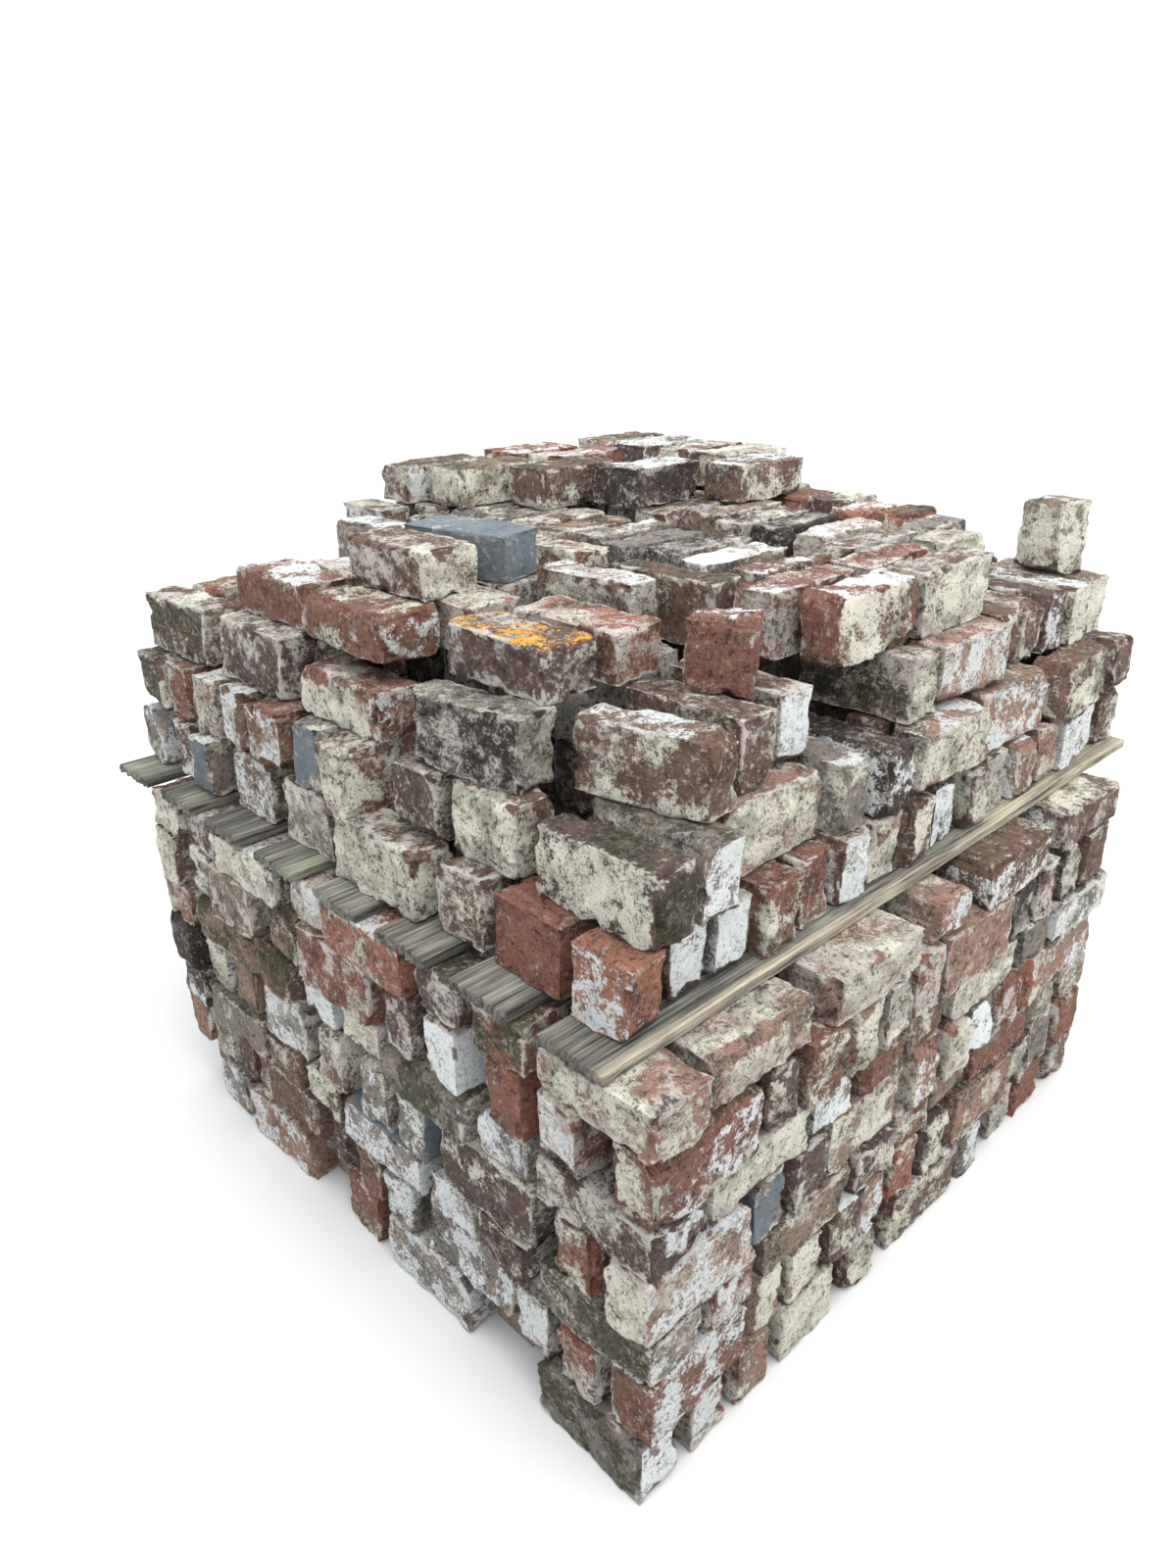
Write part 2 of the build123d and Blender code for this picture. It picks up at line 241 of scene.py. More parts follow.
MOSS_DARK = (0.022, 0.022, 0.012)
LICHEN_DARK = (0.55, 0.25, 0.02)
PIT_DARK = (0.03, 0.025, 0.02)
CRAG_PALE = (0.76, 0.68, 0.57)
# the colour of the painted shade in the hollows of the brick faces
HOLLOW_SHADE = (0.024, 0.019, 0.015)
CORE_CLAY_IN_SHADE = [(0.42, (0.028, 0.022, 0.018)), (0.52, (0.10, 0.065, 0.05)), (0.62, (0.30, 0.26, 0.20))]
CLAY_DEPTH = 0.0085
HIDDEN_DEPTH = 0.012
DULL_GLOSS = 0.2

deck_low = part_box("spacer_board_1")[0]
old_clay, clay_shader, spot = new_finish("old_clay_brick")
brick_dice = spot.node("ShaderNodeAttribute", {"attribute_name": "brick_dice"}, {}, "Color")
crust = spot.node("ShaderNodeAttribute", {"attribute_name": "crust"}, {}, "Color")
lichen_here = spot.node("ShaderNodeAttribute", {"attribute_name": "crust"}, {}, "Alpha")
wear = spot.node("ShaderNodeAttribute", {"attribute_name": "wear"}, {}, "Color")
broad = spot.noise(10.0, 4.0, 0.6)
blotch = spot.noise(30.0, 9.0, 0.8, 0.15)
streak = spot.stretched((1.0, 1.0, 2.2)).noise(55.0, 8.0, 0.74)
grit = spot.noise(240.0, 6.0, 0.8)
crags = spot.noise(85.0, 7.0, 0.88)
pits = spot.cells(125.0)
rough_edge = (blotch - 0.5) * 1.9 + (crags - 0.5) * 1.1 + (grit - 0.5) * 0.7
hue = brick_dice.part(0) + (broad - 0.5) * 0.4 + (blotch - 0.5) * 0.5
clay = hue.ramp(CLAYS)
clay = clay.tint(GRIT_PALE, (grit - 0.5).step(0.0, 0.14) * 0.5)
stain = (broad - 0.5) * 1.0 + (blotch - 0.5) * 1.1 + (streak - 0.5) * 0.5 + (grit - 0.5) * 1.3
clay = clay.tint(SOOT, stain.step(0.0, 0.22) * 0.88)
veil = brick_dice.part(1) * 0.5 - 0.27 - stain + (grit - 0.5) * 0.9
veil = veil + wear.part(0) * 0.22 - wear.part(1) * 0.2
clay = clay.tint(LIME_VEIL, veil.step(0.03, 0.17) * 0.85)
mortar_mask = (crust.part(0) + rough_edge).step(0.44, 0.58)
mortar_colour = (broad * 0.5 + blotch * 0.5).ramp([(0.40, MORTAR_GREEN), (0.50, MORTAR_PALE)])
mortar_dirt = ((grit - 0.5) * 1.3 + (blotch - 0.5)).step(0.06, 0.2)
mortar_colour = mortar_colour.tint(MORTAR_DIRT, mortar_dirt * 0.85)
clay = clay.tint(mortar_colour, mortar_mask * 0.96)
soot_mask = (brick_dice.part(2) + rough_edge * 0.8).step(0.5, 0.72)
clay = clay.tint(SOOT, soot_mask * 0.8)
weathered = ((blotch - 0.5) * 1.1 + (grit - 0.5) * 0.9).step(0.08, 0.22)
wash_mask = (crust.part(1) + rough_edge).step(0.42, 0.54)
wash_colour = (grit * 0.5 + blotch * 0.5).ramp([(0.38, WASH_DULL), (0.5, LIMEWASH)])
clay = clay.tint(wash_colour.tint(WASH_DIRT, weathered * 0.6), wash_mask)
paint_mask = (crust.part(2) + rough_edge * 0.7).step(0.40, 0.52)
paint_colour = (grit * 0.5 + blotch * 0.5).ramp([(0.38, PAINT_DULL), (0.55, BLUE_PAINT)])
clay = clay.tint(paint_colour.tint(PAINT_DIRT, weathered * 0.5), paint_mask)
moss_mask = (wear.part(2) + (blotch - 0.5) * 1.2 + (streak - 0.5) * 1.2 + (grit - 0.5) * 0.8).step(0.44, 0.66)
clay = clay.tint(grit.ramp([(0.4, MOSS_DARK), (0.6, MOSS)]), moss_mask * 0.88)
lichen_mask = (lichen_here + rough_edge).step(0.48, 0.58)
clay = clay.tint(grit.ramp([(0.3, LICHEN_DARK), (0.6, LICHEN)]), lichen_mask)
clay = clay.tint(PIT_DARK, (1.0 - pits.step(0.05, 0.20)) * broad.step(0.42, 0.56) * 0.6)
hollow = crags + (broad - 0.5) * 0.35 + (streak - 0.5) * 0.4
clay = clay.tint(CRAG_PALE, (hollow - 0.57).step(0.0, 0.06) * 0.5)
# Low spots of the relief field are darkened: painted shade in the hollows, weaker under wash and paint
hollow_shade_amount = 0.85 - wash_mask * 0.3 - paint_mask * 0.45
clay = clay.tint(HOLLOW_SHADE, (0.455 - hollow).step(0.0, 0.07) * hollow_shade_amount)
relief = crags * 1.5 + grit * 0.4 + streak * 0.5 + blotch * 0.8
relief = relief + mortar_mask * 0.25 + pits.step(0.0, 0.25) * 0.2
use_finish(clay_shader, clay, 0.97 - wash_mask * 0.1 - paint_mask * 0.2, relief, CLAY_DEPTH)
clay_shader.inputs["Specular IOR Level"].default_value = DULL_GLOSS

# The hidden cores get a near-black clay: painted shade for the inside of the stack
hidden_clay, hidden_shader, spot = new_finish("hidden_brick_core")
hidden_grain = spot.noise(24.0, 8.0, 0.75, 0.4)
core_colour_in_shade = hidden_grain.ramp(CORE_CLAY_IN_SHADE)
use_finish(hidden_shader, core_colour_in_shade, 0.9 + hidden_grain * 0.08, hidden_grain, HIDDEN_DEPTH)
for node in ("lower_core", "upper_core"):
    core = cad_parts[node]
    core.data.materials.clear()
    core.data.materials.append(hidden_clay)


def islands(bm):
    """The separate solids of a mesh, each as its own list of vertices, in the mesh's own order."""
    bm.verts.index_update()
    taken = set()
    found = []
    for first in bm.verts:
        if first.index in taken:
            continue
        taken.add(first.index)
        reached = [first]
        group = []
        while reached:
            vert = reached.pop()
            group.append(vert)
            for edge in vert.link_edges:
                other = edge.other_vert(vert)
                if other.index not in taken:
                    taken.add(other.index)
                    reached.append(other)
        found.append(group)
    return found


def brick_places(node):
    """The middle, turn and size of each packed brick of a course, from the longest edge of its outline."""
    bm = bmesh.new()
    bm.from_mesh(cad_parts[node].data)
    bmesh.ops.remove_doubles(bm, verts=bm.verts, dist=MERGE_GAP)
    bm.edges.index_update()
    places = []
    for group in islands(bm):
        low = min(v.co.z for v in group)
        high = max(v.co.z for v in group)
        edges = {e.index: e for v in group for e in v.link_edges
                 if abs(e.verts[0].co.z - e.verts[1].co.z) < LEVEL_GAP and len(e.link_faces) == 2
                 and e.calc_face_angle(0) > CORNER_TURN}
        longest = max(sorted(edges), key=lambda i: round(edges[i].calc_length(), 5))
        run = edges[longest].verts[1].co - edges[longest].verts[0].co
        turn = (math.atan2(run.y, run.x) + TURN_START) % math.pi - TURN_START
        along = Vector((math.cos(turn), math.sin(turn), 0))
        across = Vector((-along.y, along.x, 0))
        reach = [along.dot(v.co) for v in group]
        width = [across.dot(v.co) for v in group]
        middle = along * (min(reach) + max(reach)) / 2 + across * (min(width) + max(width)) / 2
        middle.z = (low + high) / 2
        size = Vector((max(reach) - min(reach), max(width) - min(width), high - low))
        places.append((middle, turn, size))
    bm.free()
    return sorted(places, key=lambda p: (round(p[0].x, 3), round(p[0].y, 3)))


def fractal(point, wave):
    """Rough ground noise, about -1 to 1, whose broadest wave is so many metres long."""
    return noise.fractal(point / wave, 0.9, 2.1, 3, noise_basis="PERLIN_ORIGINAL")


def block(size, cell):
    """A box cut into cells that are smaller towards its edges."""
    bm = bmesh.new()
    bmesh.ops.create_cube(bm, size=1.0, matrix=Matrix.Diagonal((*size, 1.0)))
    for axis in range(3):
        cuts = max(1, round(size[axis] / cell) - 1)
        edges = [e for e in bm.edges
                 if abs(abs((e.verts[0].co - e.verts[1].co)[axis]) - e.calc_length()) < SAME_LENGTH]
        bmesh.ops.subdivide_edges(bm, edges=edges, cuts=cuts, use_grid_fill=True)
    for vert in bm.verts:
        for axis in range(3):
            half = size[axis] / 2
            vert.co[axis] = half * math.sin(vert.co[axis] / half * EDGE_CROWD) / math.sin(EDGE_CROWD)
    return bm


def chance_breaks(half, luck, chips):
    """Planes that cut off corners and edges, and round bites out of the edges."""
    cuts = []
    bites = []
    for _ in range(chips):
        slope = Vector([luck.choice((-1, 1)) * luck.uniform(*CUT_SLOPES) for _ in range(3)])
        if luck.random() < EDGE_CUT_SHARE:
            slope[luck.randrange(3)] *= EDGE_CUT_LEAN
        slope.normalize()
        reach = sum(abs(slope[i]) * half[i] for i in range(3))
        cuts.append((slope, reach - luck.uniform(*CUT_DEPTHS)))
    for _ in range(chips * BITES_PER_CHIP):
        along = luck.randrange(3)
        reach = luck.uniform(*BITE_REACHES)
        spot_out = [luck.choice((-1, 1)) * (half[i] + reach * BITE_OFFSET) for i in range(3)]
        spot_out[along] = luck.uniform(-half[along], half[along])
        bites.append((Vector(spot_out), reach))
    return cuts, bites


def worn_brick(size, cell, traits, seed):
    """One old brick round the origin, with its masks: crust for mortar, wash, paint and lichen, and wear for
    rubbed edges, breaks and moss."""
    luck = random.Random(seed)
    bm = block(size, cell)
    half = size / 2
    offset = Vector([luck.uniform(0, NOISE_SPAN) for _ in range(3)])
    crust_layer = bm.verts.layers.float_color.new("crust")
    wear_layer = bm.verts.layers.float_color.new("wear")
    cuts, bites = chance_breaks(half, luck, traits["chips"])
    taper = Vector([luck.uniform(*span) for span in TAPERS])
    for vert in bm.verts:
        at = vert.co.copy()
        place = at + offset
        worn_here = max(0.0, WORN_SHARE + fractal(place, WORN_WAVE))
        roundness = LEAST_ROUND + WORN_ROUND * worn_here * worn_here * traits["worn"]
        inner = Vector([max(-half[i] + roundness, min(half[i] - roundness, at[i])) for i in range(3)])
        out = at - inner
        spread = out.length
        rubbed = 0.0
        if spread > NO_LENGTH:
            rubbed = 1.0 if sum(1 for i in range(3) if abs(out[i]) > NO_LENGTH) > 1 else 0.0
            out = out / spread
            at = inner + out * roundness
        broken = 0.0
        for slope, reach in cuts:
            over = slope.dot(at) - reach + CUT_ROUGH * fractal(place, CUT_WAVE)
            if over > 0:
                at -= slope * over
                broken = max(broken, min(1.0, over / BREAK_FADE))
        for middle, reach in bites:
            away = at - middle
            deep = reach * (1 + BITE_ROUGH * fractal(place, BITE_WAVE)) - away.length
            if deep > 0:
                at += away.normalized() * deep
                broken = max(broken, min(1.0, deep / BREAK_FADE))
        coarse = fractal(place, COARSE_WAVE)
        fine = fractal(place, FINE_WAVE)
        lift = coarse * COARSE_RISE + fine * FINE_RISE - SUNK * (1 - BEDDED * abs(out.z))
        patch = fractal(place + PATCH_SHIFT, PATCH_WAVE)
        amounts = {name: 0.0 for name in ("mortar", "wash", "paint", "lichen", "moss")}
        for side, facing_way in LOCAL_SIDES.items():
            facing = max(0.0, min(1.0, out.dot(facing_way) * FACING_GAIN - FACING_START))
            if facing:
                for name in amounts:
                    amounts[name] += traits[name].get(side, 0.0) * facing
        spread_of = {name: amount * CRUST_SPREAD + patch * CRUST_PATCH * min(1.0, amount * 3)
                     for name, amount in amounts.items()}
        mortared = max(0.0, min(1.0, (spread_of["mortar"] - MORTAR_START) * MORTAR_GAIN))
        lift += MORTAR_RISE * mortared * (0.6 + 0.7 * fine)
        intact = 1.0 - broken * BREAK_BARES
        vert[crust_layer] = (spread_of["mortar"] * intact, spread_of["wash"] * intact,
                             spread_of["paint"] * intact, spread_of["lichen"])
        vert[wear_layer] = (rubbed * (1 - broken), broken, spread_of["moss"], 1.0)
        at += out * lift if out.length > 0.5 else at.normalized() * lift
        bend = [noise.noise(place / CROOKED_WAVE + Vector((i * CROOKED_SHIFT, 0, 0))) for i in range(3)]
        at += Vector(bend) * CROOKED
        vert.co = Vector([at[i] * (1 + taper[i] * (at[(i + 1) % 3] / half[(i + 1) % 3] + 1) / 2)
                          for i in range(3)])
    return bm


# What a face can carry: how much mortar, wash, paint, moss and lichen
FACES = {"bare": {"mortar": 0.12}, "traces": {"mortar": 0.42}, "patchy": {"mortar": 0.66},
         "cream": {"mortar": 0.9}, "white": {"wash": 0.95}, "half": {"wash": 0.60, "mortar": 0.4},
         "blue": {"paint": 0.95}, "mossy": {"moss": 0.80, "mortar": 0.5}, "lichen": {"lichen": 0.62, "mortar": 0.2}}
# Looks of the bricks that the photograph shows, by course and number: the clay, the west face, which is on
# the camera's left, the south face on its right, and the top
SEEN = {
    "upper_course_1": {0: "brown cream cream patchy", 1: "orange half bare bare", 2: "bright bare bare bare",
                       3: "brown traces traces traces", 4: "ochre patchy traces mossy", 5: "brown half traces mossy",
                       6: "grey blue traces white", 7: "grey half half half", 8: "brown traces traces traces",
                       9: "brown half traces half", 10: "red patchy traces traces", 11: "brown traces traces traces",
                       12: "purple traces white traces", 13: "dark mossy traces mossy", 14: "grey half white traces",
                       15: "red patchy patchy traces", 25: "red bare traces bare", 26: "brown half white traces",
                       27: "red patchy cream traces", 30: "brown patchy cream mossy", 31: "dark traces white traces",
                       33: "brown cream cream traces", 34: "purple traces patchy traces", 35: "pink half traces half",
                       37: "pink traces patchy half", 38: "grey half white half", 40: "grey half white traces",
                       47: "brown traces patchy traces"},
    "upper_course_2": {0: "red half traces traces", 1: "purple traces patchy patchy", 2: "purple cream mossy mossy",
                       3: "brown cream patchy patchy", 4: "red cream patchy patchy", 5: "brown mossy patchy mossy",
                       6: "pink patchy traces half", 7: "grey blue patchy patchy", 8: "brown half traces half",
                       9: "red traces traces mossy", 10: "brown patchy traces mossy", 11: "pink cream cream half",
                       12: "grey patchy white mossy", 14: "pink half patchy traces", 23: "grey patchy patchy half",
                       25: "dark half half traces", 27: "pink patchy cream half", 28: "brown traces patchy traces",
                       31: "pink patchy half traces", 32: "pink patchy patchy traces", 34: "brown patchy cream traces",
                       41: "brown traces traces traces"},
    "upper_course_3": {0: "brown mossy patchy patchy", 1: "purple traces traces patchy", 2: "dark bare cream cream",
                       3: "red cream half traces", 4: "brown traces patchy patchy", 5: "brown patchy bare half",
                       7: "brown traces traces traces", 17: "brown traces white traces", 20: "ochre mossy cream mossy",
                       23: "pink patchy half traces", 24: "brown mossy cream mossy", 26: "brown traces patchy traces",
                       27: "brown traces traces traces", 28: "purple traces half traces", 32: "brown patchy cream half",
                       38: "ochre patchy cream traces"},
    "ground_course": {0: "grey mossy white mossy", 1: "grey half half half", 2: "pink half traces traces",
                      3: "red traces traces half", 4: "grey half traces traces", 5: "red patchy half traces",
                      6: "pink patchy patchy traces", 7: "ochre cream cream patchy", 8: "brown traces cream white",
                      9: "brown patchy patchy half", 10: "grey patchy half traces", 11: "brown traces patchy traces",
                      12: "bright bare traces half", 13: "brown traces traces mossy"},
    "lower_course_1": {0: "brown traces traces mossy", 1: "grey half patchy half", 2: "red traces half half",
                       3: "grey half half half", 4: "grey half traces white", 5: "red traces half half",
                       12: "red traces traces half", 13: "pink cream cream half", 15: "ochre cream cream traces",
                       16: "brown traces patchy white", 17: "pink patchy half traces"},
    "lower_course_2": {0: "grey half half blue", 2: "grey mossy half mossy", 3: "brown traces traces mossy",
                       4: "purple bare traces traces", 5: "grey half patchy half", 8: "red patchy half half",
                       10: "ochre bare bare traces", 11: "purple traces patchy traces"},
    "lower_course_3": {0: "purple traces patchy cream", 1: "grey half patchy half", 2: "pink cream half half",
                       4: "grey half blue half", 5: "brown patchy patchy traces", 6: "grey half patchy patchy",
                       7: "red patchy half white", 11: "grey blue blue traces", 13: "purple traces traces traces",
                       15: "ochre cream cream traces", 18: "pink patchy half traces", 19: "pink patchy cream traces",
                       20: "grey half white traces"},
    "lower_course_4": {0: "grey mossy patchy mossy", 1: "ochre mossy patchy mossy", 2: "purple traces half bare",
                       3: "brown mossy traces mossy", 5: "grey half patchy half", 6: "grey cream white cream",
                       7: "grey white white half", 8: "ochre cream cream half", 10: "grey half white traces",
                       13: "brown traces traces traces", 15: "pink patchy patchy traces"},
    "lower_course_5": {1: "red bare traces traces", 3: "red half traces cream", 4: "bright bare bare bare",
                       5: "grey white white traces", 6: "purple bare bare traces", 7: "red patchy half mossy",
                       8: "dark bare bare mossy", 9: "ochre mossy patchy half", 11: "purple mossy patchy mossy",
                       13: "red patchy patchy traces", 14: "pink patchy cream traces", 16: "brown patchy patchy traces",
                       17: "red bare bare traces", 19: "pink traces traces traces", 20: "pink patchy half traces"},
    "lower_course_6": {0: "orange traces traces half", 2: "pink patchy patchy patchy", 3: "purple bare bare mossy",
                       4: "red mossy traces mossy", 8: "pink traces patchy patchy", 10: "pink traces patchy patchy",
                       12: "pink patchy half traces", 14: "brown half half traces"},
    "top_course": {4: "red traces traces half", 5: "red traces cream half", 11: "brown traces traces half",
                   6: "grey half traces white", 0: "brown traces traces mossy", 17: "red traces cream traces",
                   18: "brown patchy cream traces", 29: "pink patchy cream traces"},
    "loose_bricks_1": {0: "red traces half patchy", 1: "red traces traces half", 2: "purple bare patchy lichen",
                       3: "pink traces traces patchy", 4: "red traces traces half", 5: "orange bare bare traces",
                       6: "red bare bare half", 7: "brown bare bare traces", 8: "grey traces half half",
                       9: "brown traces patchy half", 10: "ochre cream cream half"},
    "loose_bricks_2": {0: "brown bare patchy traces", 1: "grey blue blue blue"},
}


# Looks by chance, for the bricks that the photograph doesn't show
CHANCE_CLAYS = ("dark", "purple", "brown", "brown", "red", "red", "orange", "pink", "ochre", "grey")
CHANCE_SIDES = ("bare", "traces", "traces", "patchy", "patchy", "cream", "half")
CHANCE_TOPS = ("traces", "patchy", "half", "mossy")
CHANCE_BACKS = ("traces", "patchy", "cream")
HUE_DRIFT = 0.03
PALE_SPAN = (0.15, 0.75)
SOOT_SPAN = (0.1, 0.42)
CHIP_SPAN = (2, 6)
WORN_SPAN = (0.6, 1.3)
DARK_SOOT = 0.62


def chance_look(luck):
    """A look for a brick that the photograph doesn't show."""
    clay_name = luck.choice(CHANCE_CLAYS)
    sides = [luck.choice(CHANCE_SIDES) for _ in range(2)]
    return " ".join([clay_name, *sides, luck.choice(CHANCE_TOPS)])


def brick_traits(look, turn, luck):
    """Turns a look into numbers for each side of a brick, as the brick itself is turned."""
    clay_name, west, south, top = look.split()
    faces = {"west": west, "south": south, "top": top, "under": "traces",
             "east": luck.choice(CHANCE_BACKS), "north": luck.choice(CHANCE_BACKS)}
    traits = {"hue": HUES[clay_name] + luck.uniform(-HUE_DRIFT, HUE_DRIFT), "pale": luck.uniform(*PALE_SPAN),
              "soot": luck.uniform(*SOOT_SPAN), "chips": luck.randint(*CHIP_SPAN), "worn": luck.uniform(*WORN_SPAN)}
    if clay_name == "dark":
        traits["soot"] = DARK_SOOT
    if clay_name == "bright":
        traits["pale"] = 0.0
    turned = Matrix.Rotation(turn, 3, "Z")
    for name in ("mortar", "wash", "paint", "lichen", "moss"):
        traits[name] = {}
        for side, way in LOCAL_SIDES.items():
            facing = turned @ way
            world_side = max(WORLD_SIDES, key=lambda s: WORLD_SIDES[s].dot(facing))
            traits[name][side] = FACES[faces[world_side]].get(name, 0.0)
    return traits


def dress_course(node):
    """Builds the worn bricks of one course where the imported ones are."""
    course = bmesh.new()
    for name in ("crust", "wear", "brick_dice"):
        course.verts.layers.float_color.new(name)
    whole = bpy.data.meshes.new(node + "_bricks")
    one = bpy.data.meshes.new("one_brick")
    low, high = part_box(node)
    top_open = node.startswith(("top", "crown", "loose"))
    for number, (middle, turn, size) in enumerate(brick_places(node)):
        seed = f"{node} {number}"
        luck = random.Random(seed)
        look = SEEN.get(node, {}).get(number) or chance_look(luck)
        near = middle.x < deck_low.x + NEAR_WEST or middle.y < deck_low.y + NEAR_SOUTH or top_open
        traits = brick_traits(look, turn, luck)
        brick = worn_brick(size, NEAR_CELL if near else FAR_CELL, traits, seed)
        tilt = Matrix.Rotation(math.radians(luck.uniform(-TILT_ACROSS, TILT_ACROSS)), 4, "X")
        tilt = tilt @ Matrix.Rotation(math.radians(luck.uniform(-TILT_ALONG, TILT_ALONG)), 4, "Y")
        brick.transform(Matrix.Translation(middle) @ Matrix.Rotation(turn, 4, "Z") @ tilt)
        dice_layer = brick.verts.layers.float_color.new("brick_dice")
        for vert in brick.verts:
            vert[dice_layer] = (traits["hue"], traits["pale"], traits["soot"], 1.0)
            vert.co = Vector([max(low[i], min(high[i], vert.co[i])) for i in range(3)])
        brick.to_mesh(one)
        brick.free()
        course.from_mesh(one)
    for face in course.faces:
        face.smooth = True
    course.to_mesh(whole)
    course.free()
    bpy.data.meshes.remove(one)
    whole.set_sharp_from_angle(angle=math.radians(BRICK_CREASE))
    piece = bpy.data.objects.new(node + "_bricks", whole)
    bpy.context.scene.collection.objects.link(piece)
    whole.materials.append(old_clay)
    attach(piece, "root")
    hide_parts(node)


for node in sorted(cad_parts):
    if "course" in node or node.startswith("loose_bricks"):
        dress_course(node)


# Spacer boards: thin sawn boards that lie loose between the tiers. They are greyed by the weather, with
# open grain, split ends and one tan sawn edge.
BOARD_CELL = 0.022
BOARD_LINE = 0.0055
SURFACE_GAP = 0.0005
RIDGE = 0.0009
RIM_DROP = 0.0015
SIDE_WEAR = 0.0008
SIDE_WAVE = 0.0035
END_WEAR = 0.014
END_REACH = BOARD_CELL * 1.5
INNER_FRAY = 0.35
END_STAIN = 0.8
GREY_SHARE = 0.15
TAN_SHARE = 0.85
TAN_EDGE = 0.012
TAN_START = 1.0
BOARD_SHIFT = 7.3
BOARD_CREASE = 40
BOARD_DEPTH = 0.0035
BOARD_ALGAE = (0.20, 0.22, 0.11)
CRACK_DARK = (0.03, 0.025, 0.018)
END_DARK = (0.05, 0.042, 0.032)
GREY_WOOD = [(0.34, (0.018, 0.017, 0.014)), (0.46, (0.075, 0.073, 0.060)), (0.57, (0.17, 0.168, 0.142)),
             (0.70, (0.36, 0.355, 0.315))]
TAN_WOOD = [(0.34, (0.040, 0.032, 0.022)), (0.46, (0.16, 0.132, 0.090)), (0.66, (0.46, 0.40, 0.29))]

grey_wood, board_shader, spot = new_finish("weathered_board")
board_dice = spot.node("ShaderNodeAttribute", {"attribute_name": "board_dice"}, {}, "Color")
board_grain = spot.stretched((4, 150, 90)).noise(1.0, 8.0, 0.68, 0.35)
board_fibre = spot.stretched((16, 480, 480)).noise(1.0, 5.0, 0.7)
board_patch = spot.stretched((2, 9, 9)).noise(1.0, 5.0, 0.7)
tone = board_grain * 0.8 + board_fibre * 0.3 - 0.085 + (board_patch - 0.5) * 0.6 + board_dice.part(0) * 0.05
board_colour = tone.ramp(GREY_WOOD).tint(tone.ramp(TAN_WOOD), board_dice.part(0))
board_colour = board_colour.tint(BOARD_ALGAE, board_patch.step(0.52, 0.66) * 0.45)
cracks = (board_grain - 0.5).step(-0.16, -0.09)
board_colour = board_colour.tint(CRACK_DARK, 1.0 - cracks)
board_colour = board_colour.tint(END_DARK, board_dice.part(1) * board_fibre.step(0.4, 0.62) * 0.7)
board_relief = board_grain * 0.8 + board_fibre * 0.4 + cracks * 0.5
use_finish(board_shader, board_colour, 0.86 + board_grain * 0.1, board_relief, BOARD_DEPTH)


def weathered_board(node, number):
    """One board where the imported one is, with ridged grain, worn edges and frayed ends."""
    low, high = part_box(node)
    size = high - low
    middle = (low + high) / 2
    bm = bmesh.new()
    bmesh.ops.create_cube(bm, size=1.0, matrix=Matrix.Diagonal((*size, 1.0)))
    for axis, cell in ((0, BOARD_CELL), (1, BOARD_LINE), (2, BOARD_LINE)):
        cuts = max(1, round(size[axis] / cell) - 1)
        edges = [e for e in bm.edges
                 if abs(abs((e.verts[0].co - e.verts[1].co)[axis]) - e.calc_length()) < SAME_LENGTH]
        bmesh.ops.subdivide_edges(bm, edges=edges, cuts=cuts, use_grid_fill=True)
    dice_layer = bm.verts.layers.float_color.new("board_dice")
    half = size / 2
    drift = Vector((0, 0, number * BOARD_SHIFT))
    for vert in bm.verts:
        at = vert.co.copy()
        place = at + drift
        fibre = noise.noise(Vector((place.x * 3, place.y * 170, place.z * 90)))
        side = 1.0 if half.y - abs(at.y) < SURFACE_GAP else 0.0
        end = 1.0 if half.x - abs(at.x) < SURFACE_GAP else 0.0
        if abs(abs(at.z) - half.z) < SURFACE_GAP:
            vert.co.z -= math.copysign(RIDGE * (1.1 + fibre) + RIM_DROP * side, at.z)
        if side:
            waver = abs(noise.noise(Vector((place.x * 9, 0, number))))
            vert.co.y -= math.copysign(SIDE_WEAR + SIDE_WAVE * waver, at.y)
        if half.x - abs(at.x) < END_REACH:
            fray = abs(noise.noise(Vector((number, place.y * 60, place.z * 30)))) ** 0.7
            vert.co.x -= math.copysign(END_WEAR * fray * (1.0 if end else INNER_FRAY), at.x)
        sawn = number == 1 and (at.y < -half.y + TAN_EDGE or at.x > -half.x + TAN_START)
        vert[dice_layer] = (TAN_SHARE if sawn else GREY_SHARE, end * END_STAIN, 0.0, 1.0)
    mesh = bpy.data.meshes.new(node + "_weathered")
    for face in bm.faces:
        face.smooth = True
    bm.to_mesh(mesh)
    bm.free()
    mesh.transform(Matrix.Translation(middle))
    mesh.set_sharp_from_angle(angle=math.radians(BOARD_CREASE))
    piece = bpy.data.objects.new(node + "_weathered", mesh)
    bpy.context.scene.collection.objects.link(piece)
    mesh.materials.append(grey_wood)
    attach(piece, "root")
    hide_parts(node)


for node in sorted(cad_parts):
    if node.startswith("spacer_board"):
        weathered_board(node, int(node.rsplit("_", 1)[1]))


# Floor, studio light and camera: a plain pale floor, soft light from all round with two large lamps, and a
# camera at the photograph's own angle.
FLOOR_COLOUR = (0.55, 0.54, 0.52, 1.0)
FLOOR_SIZE = 12.0
SKY_COLOUR = (0.86, 0.90, 0.96, 1.0)
SKY_STRENGTH = 2.1
FOCAL_PIXELS = 1126.0
IMAGE_LONG_SIDE = 1600.0
CAMERA_OFFSET = (-0.771, -0.772)
CAMERA_HEIGHT = 1.605
YAW, PITCH, ROLL = 45.72, 23.92, -0.27

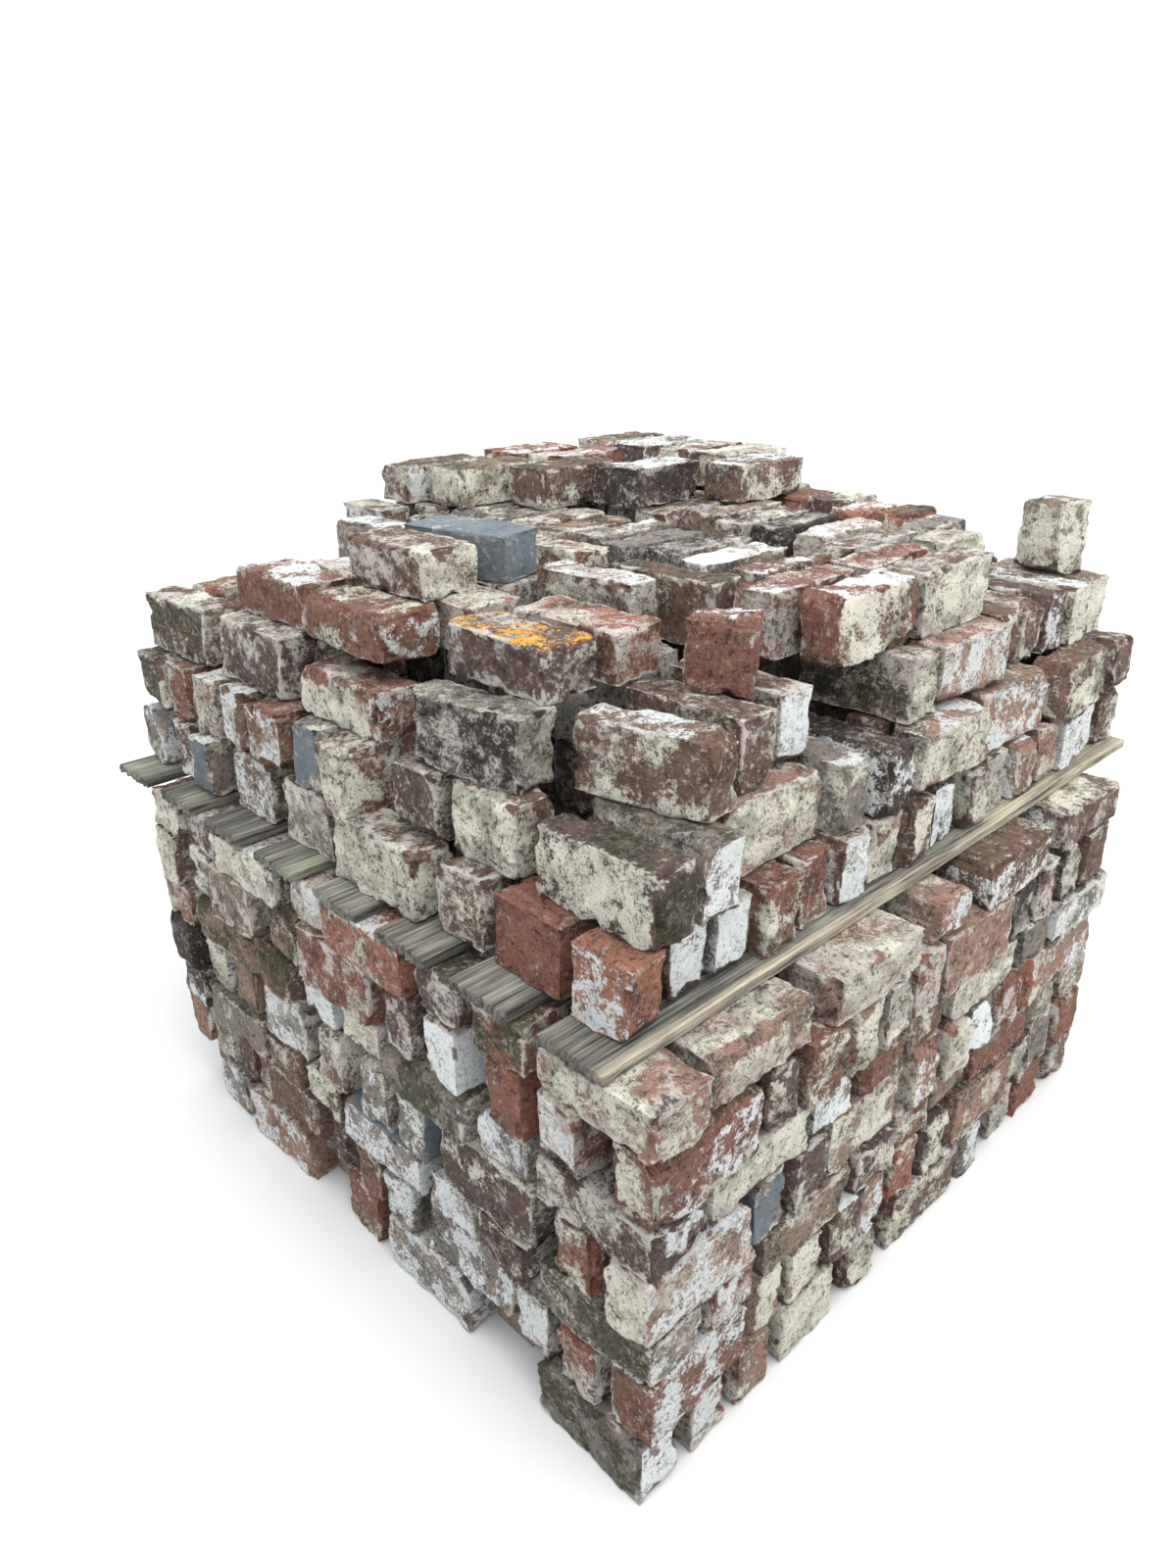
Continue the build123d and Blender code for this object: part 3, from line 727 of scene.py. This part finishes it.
floor_mesh = bpy.data.meshes.new("floor")
floor_bm = bmesh.new()
bmesh.ops.create_grid(floor_bm, x_segments=1, y_segments=1, size=FLOOR_SIZE)
floor_bm.to_mesh(floor_mesh)
floor_bm.free()
floor = bpy.data.objects.new("floor", floor_mesh)
bpy.context.scene.collection.objects.link(floor)
floor_finish = bpy.data.materials.new("pale_floor")
floor_finish.use_nodes = True
floor_shader = floor_finish.node_tree.nodes["Principled BSDF"]
floor_shader.inputs["Base Color"].default_value = FLOOR_COLOUR
floor_shader.inputs["Roughness"].default_value = 0.9
floor_mesh.materials.append(floor_finish)

world = bpy.context.scene.world or bpy.data.worlds.new("studio")
bpy.context.scene.world = world
world.use_nodes = True
sky = world.node_tree.nodes["Background"]
sky.inputs["Color"].default_value = SKY_COLOUR
sky.inputs["Strength"].default_value = SKY_STRENGTH


def soft_light(name, place, aim, size, power):
    """A large square lamp that looks at a point."""
    lamp = bpy.data.lights.new(name, "AREA")
    lamp.size = size
    lamp.energy = power
    holder = bpy.data.objects.new(name, lamp)
    holder.location = place
    holder.rotation_euler = (Vector(aim) - Vector(place)).to_track_quat("-Z", "Y").to_euler()
    bpy.context.scene.collection.objects.link(holder)


soft_light("overhead", (-0.6, -1.0, 4.4), (0, 0, 0.8), 2.6, 190)
soft_light("right_fill", (3.4, -2.8, 2.4), (0, 0, 0.7), 2.5, 75)
bpy.context.scene.view_settings.view_transform = "Standard"

lens = bpy.data.cameras.new("photo_view")
lens.sensor_width = 36.0
lens.lens = FOCAL_PIXELS / IMAGE_LONG_SIDE * lens.sensor_width
viewer = bpy.data.objects.new("photo_view", lens)
viewer.location = (deck_low.x + CAMERA_OFFSET[0], deck_low.y + CAMERA_OFFSET[1], CAMERA_HEIGHT)
viewer.rotation_euler = (Matrix.Rotation(math.radians(YAW - 90), 3, "Z")
                         @ Matrix.Rotation(math.radians(90 - PITCH), 3, "X")
                         @ Matrix.Rotation(math.radians(ROLL), 3, "Z")).to_euler()
bpy.context.scene.collection.objects.link(viewer)
bpy.context.scene.camera = viewer
